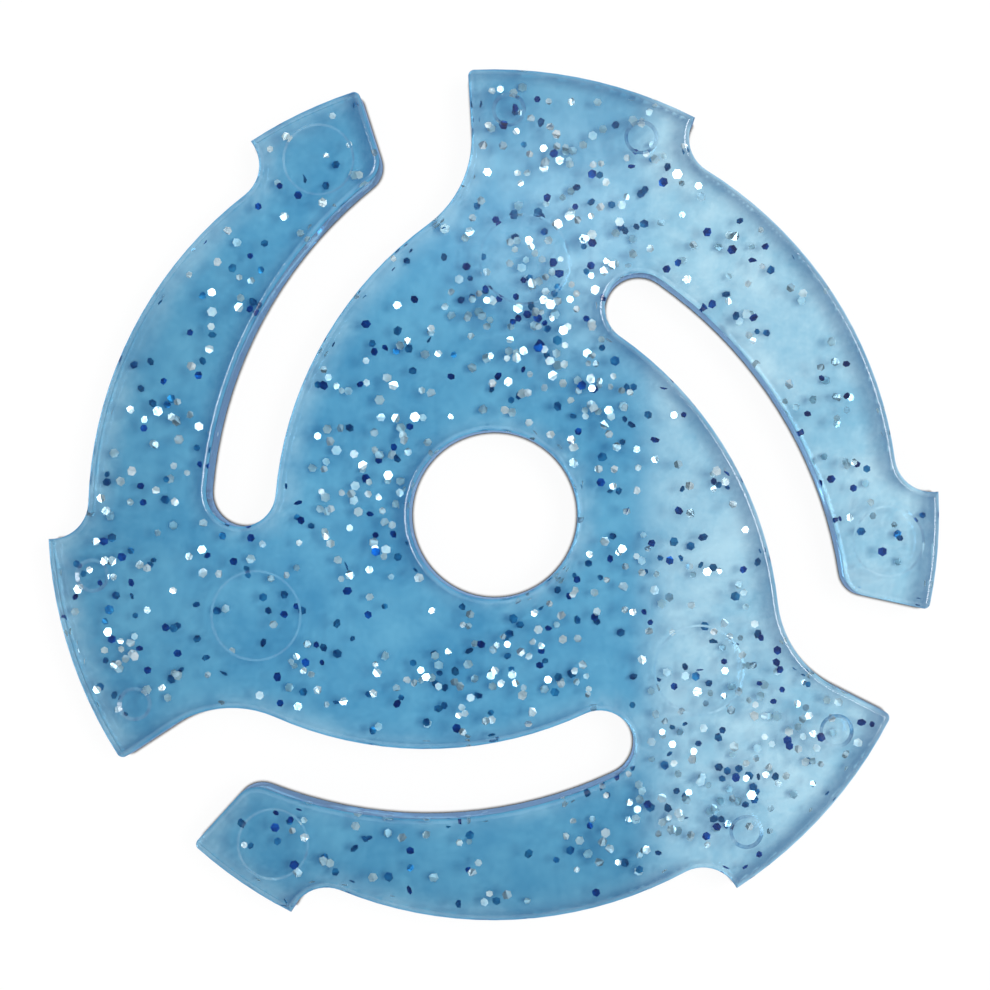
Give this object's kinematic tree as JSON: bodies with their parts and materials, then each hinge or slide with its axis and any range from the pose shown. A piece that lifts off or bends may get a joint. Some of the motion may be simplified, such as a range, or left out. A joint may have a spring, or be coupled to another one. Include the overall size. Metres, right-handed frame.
{
  "type": "record spindle adapter",
  "caption": "Flat insert with curved spring arms that fills a record's wide centre hole and leaves a small bore for the turntable spindle; clear blue plastic with glitter.",
  "frame": {"origin": "centre of the spindle bore, at the plate's lower face", "axes": "+Z along the bore axis, up through the face that carries the ejector marks; +Y near the middle of one tab"},
  "size_m": [0.038, 0.0363, 0.002],
  "materials": {
    "clear_blue_glitter_plastic": "clear light blue moulded styrene plastic, glossy, with silver and blue glitter flakes through its thickness"
  },
  "bodies": {
    "root": {"adapter_plate": "clear_blue_glitter_plastic"}
  },
  "joints": []
}
